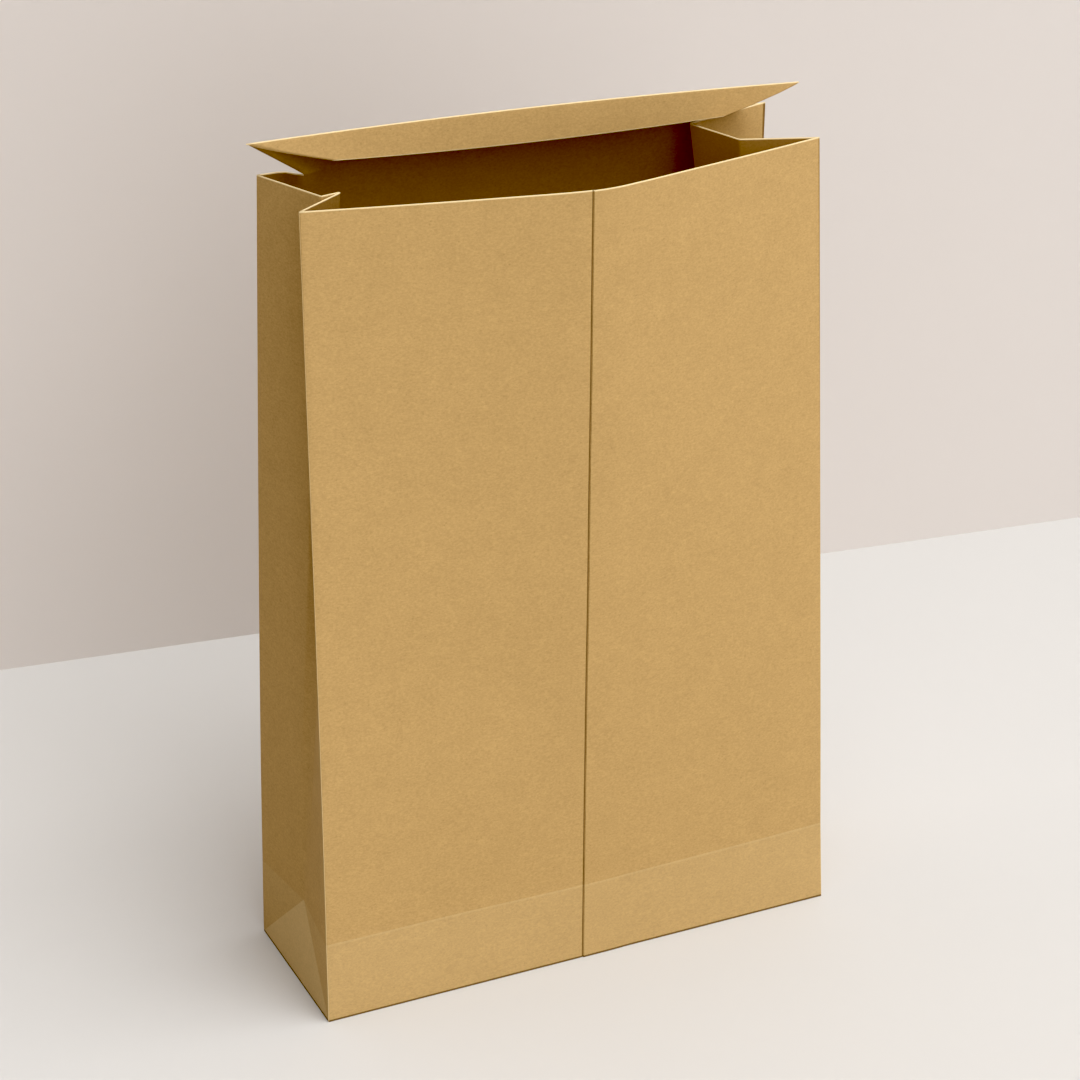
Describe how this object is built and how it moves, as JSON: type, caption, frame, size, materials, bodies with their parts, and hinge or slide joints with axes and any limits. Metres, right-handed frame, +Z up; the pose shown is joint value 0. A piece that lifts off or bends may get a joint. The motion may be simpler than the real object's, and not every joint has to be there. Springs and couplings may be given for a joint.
{
  "type": "paper bag",
  "caption": "Tall flat-bottomed kraft paper bag with side gussets, a centre seam and a folded-over lip, standing open and empty.",
  "frame": {"origin": "centre of the bag's flat bottom, on the surface that it stands on", "axes": "+Z up toward the mouth, -Y out of the wide front panel with the centre seam, +X to the right of that panel"},
  "size_m": [0.3, 0.1024, 0.462],
  "materials": {
    "kraft_paper": "uncoated, matte"
  },
  "bodies": {
    "root": {"bag": "kraft_paper"}
  },
  "joints": []
}
